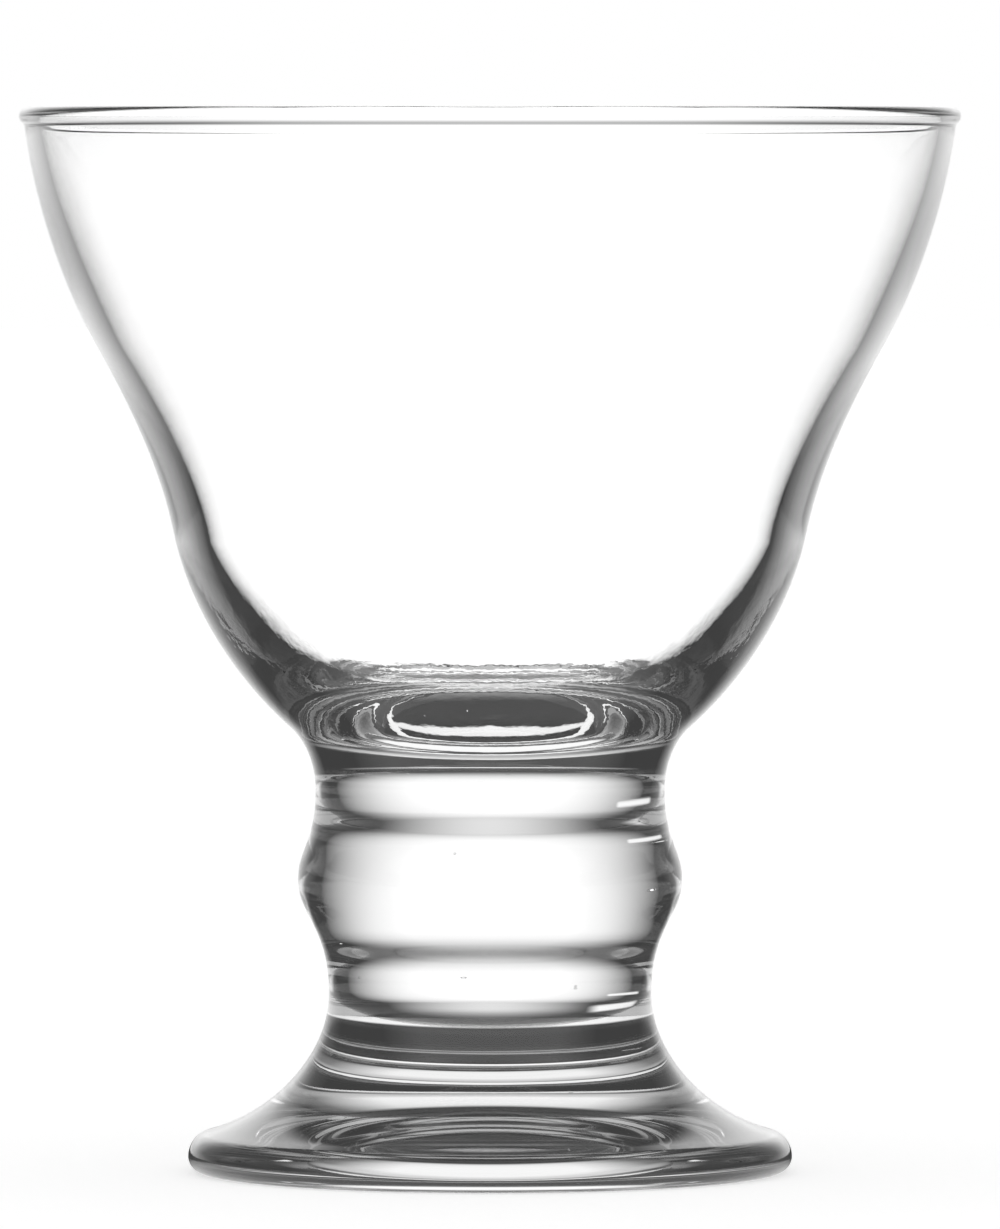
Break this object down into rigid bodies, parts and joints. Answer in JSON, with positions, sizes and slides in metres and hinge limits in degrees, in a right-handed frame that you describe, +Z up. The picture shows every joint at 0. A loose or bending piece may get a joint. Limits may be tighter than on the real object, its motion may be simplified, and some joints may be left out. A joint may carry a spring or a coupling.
{
  "type": "dessert bowl",
  "caption": "Footed dessert bowl in clear glass: a flared bowl with a beaded rim on a short solid stem with a bulge and a round spreading foot.",
  "frame": {"origin": "centre of the standing ring, on the table", "axes": "+Z up along the axis of the glass, from the foot to the rim; the glass is round, so +X and +Y are alike"},
  "size_m": [0.0994, 0.0994, 0.1125],
  "materials": {
    "clear_glass": "clear, fire-polished"
  },
  "bodies": {
    "root": {"bowl": "clear_glass", "stem": "clear_glass", "foot": "clear_glass"}
  },
  "joints": []
}
